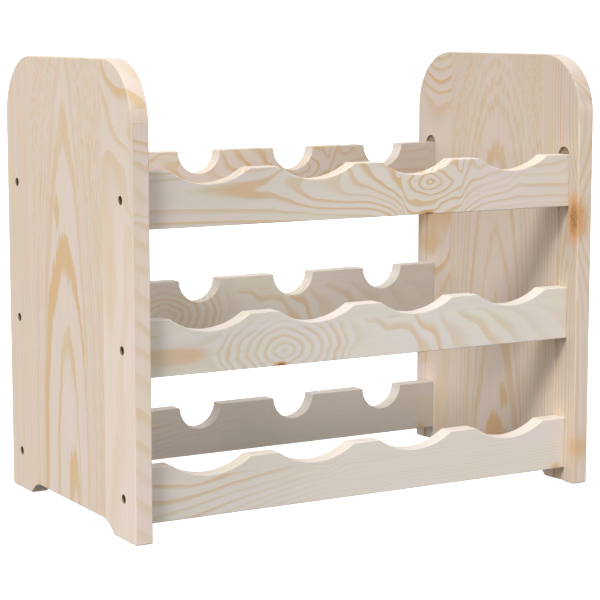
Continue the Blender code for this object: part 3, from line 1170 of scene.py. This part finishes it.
# The camera's place in metres, its turn and tilt, and its focal length in mm.
CAMERA_PLACE = (-0.8706, -1.5073, 0.4043)
CAMERA_TURN = math.radians(30.006)
CAMERA_TILT = math.radians(7.889)
CAMERA_LENS = 120.67
KEY_DIRECTION = Vector((0.588, 0.392, -0.706))
KEY_PLACE = (-1.2, -0.8, 1.6)
KEY_COLOUR = (1.0, 0.985, 0.965)
KEY_STRENGTH = 1.85
KEY_SPREAD = math.radians(17)
HORIZON_STRENGTH = 1.03
ZENITH_STRENGTH = 0.64
GROUND_STRENGTH = 0.16
FLOOR_RADIUS = 60.0
FLOOR_GLOW = 0.92


def floor_look(colours):
    look = bpy.data.materials.new("studio_floor")
    look.use_nodes = True
    tree = look.node_tree
    shader = tree.nodes["Principled BSDF"]
    shader.inputs["Base Color"].default_value = solid(colours.floor)
    shader.inputs["Roughness"].default_value = 0.9
    shader.inputs["Specular IOR Level"].default_value = 0.0
    shader.inputs["Emission Color"].default_value = (1.0, 1.0, 1.0, 1.0)
    shader.inputs["Emission Strength"].default_value = FLOOR_GLOW
    return look


def light_dome():
    """A white sky, brightest at the horizon, over a dim ground."""
    world = bpy.data.worlds.new("studio_dome")
    world.use_nodes = True
    tree = world.node_tree
    background = tree.nodes["Background"]
    direction = tree.nodes.new("ShaderNodeTexCoord").outputs["Generated"]
    parts = tree.nodes.new("ShaderNodeSeparateXYZ")
    tree.links.new(direction, parts.inputs[0])
    height = Signal(tree, parts.outputs[2])
    sky = blend(height.ramp(0.12, 0.95), ZENITH_STRENGTH, HORIZON_STRENGTH)
    strength = blend(height.ramp(-0.06, 0.0), sky, GROUND_STRENGTH)
    background.inputs["Color"].default_value = (1.0, 1.0, 1.0, 1.0)
    feed(tree, strength, background.inputs["Strength"])
    bpy.context.scene.world = world


class WINERACK_OT_stage(bpy.types.Operator):
    """Builds the floor, the lights and the camera"""

    bl_idname = "wine_rack.stage"
    bl_label = "Stage"

    def execute(self, context):
        shape = bmesh.new()
        bmesh.ops.create_circle(shape, cap_ends=True, segments=96, radius=FLOOR_RADIUS)
        floor = mesh_object("studio_floor", shape)
        floor.location.z = -0.0002
        floor.data.materials.append(floor_look(context.scene.rack_colours))
        floor.visible_diffuse = False
        floor.visible_glossy = False
        light_dome()

        lamp = bpy.data.lights.new("key_light", "SUN")
        lamp.energy = KEY_STRENGTH
        lamp.angle = KEY_SPREAD
        lamp.color = KEY_COLOUR
        key = bpy.data.objects.new("key_light", lamp)
        bpy.context.scene.collection.objects.link(key)
        key.location = KEY_PLACE
        key.rotation_euler = KEY_DIRECTION.to_track_quat("-Z", "Y").to_euler()

        lens = bpy.data.cameras.new("camera")
        lens.lens = CAMERA_LENS
        lens.sensor_width = 36.0
        lens.clip_start = 0.05
        lens.clip_end = 200.0
        camera = bpy.data.objects.new("camera", lens)
        bpy.context.scene.collection.objects.link(camera)
        camera.location = CAMERA_PLACE
        camera.rotation_euler = (math.pi / 2 - CAMERA_TILT, 0.0, -CAMERA_TURN)
        bpy.context.scene.camera = camera
        bpy.context.scene.view_settings.view_transform = "Standard"
        return {"FINISHED"}


# ---------------------------------------------------------------- add-on


class WINERACK_PT_sidebar(bpy.types.Panel):
    """Lists the parts of the rack that can be built"""

    bl_idname = "WINERACK_PT_sidebar"
    bl_label = "Pine Wine Rack"
    bl_space_type = "VIEW_3D"
    bl_region_type = "UI"
    bl_category = "Wine Rack"

    def draw(self, context):
        for operator in OPERATORS:
            self.layout.operator(operator.bl_idname)


OPERATORS = (
    WINERACK_OT_side_panels,
    WINERACK_OT_front_rails,
    WINERACK_OT_rear_rails,
    WINERACK_OT_screws,
    WINERACK_OT_stage,
)
CLASSES = (RackSizes, RackColours, *OPERATORS, WINERACK_PT_sidebar)


def register():
    for cls in CLASSES:
        bpy.utils.register_class(cls)
    bpy.types.Scene.rack_sizes = bpy.props.PointerProperty(type=RackSizes)
    bpy.types.Scene.rack_colours = bpy.props.PointerProperty(type=RackColours)


def unregister():
    del bpy.types.Scene.rack_colours
    del bpy.types.Scene.rack_sizes
    for cls in reversed(CLASSES):
        bpy.utils.unregister_class(cls)


def main():
    register()
    bpy.ops.wine_rack.side_panels()
    bpy.ops.wine_rack.front_rails()
    bpy.ops.wine_rack.rear_rails()
    bpy.ops.wine_rack.screws()
    bpy.ops.wine_rack.stage()


if __name__ == "__main__":
    main()
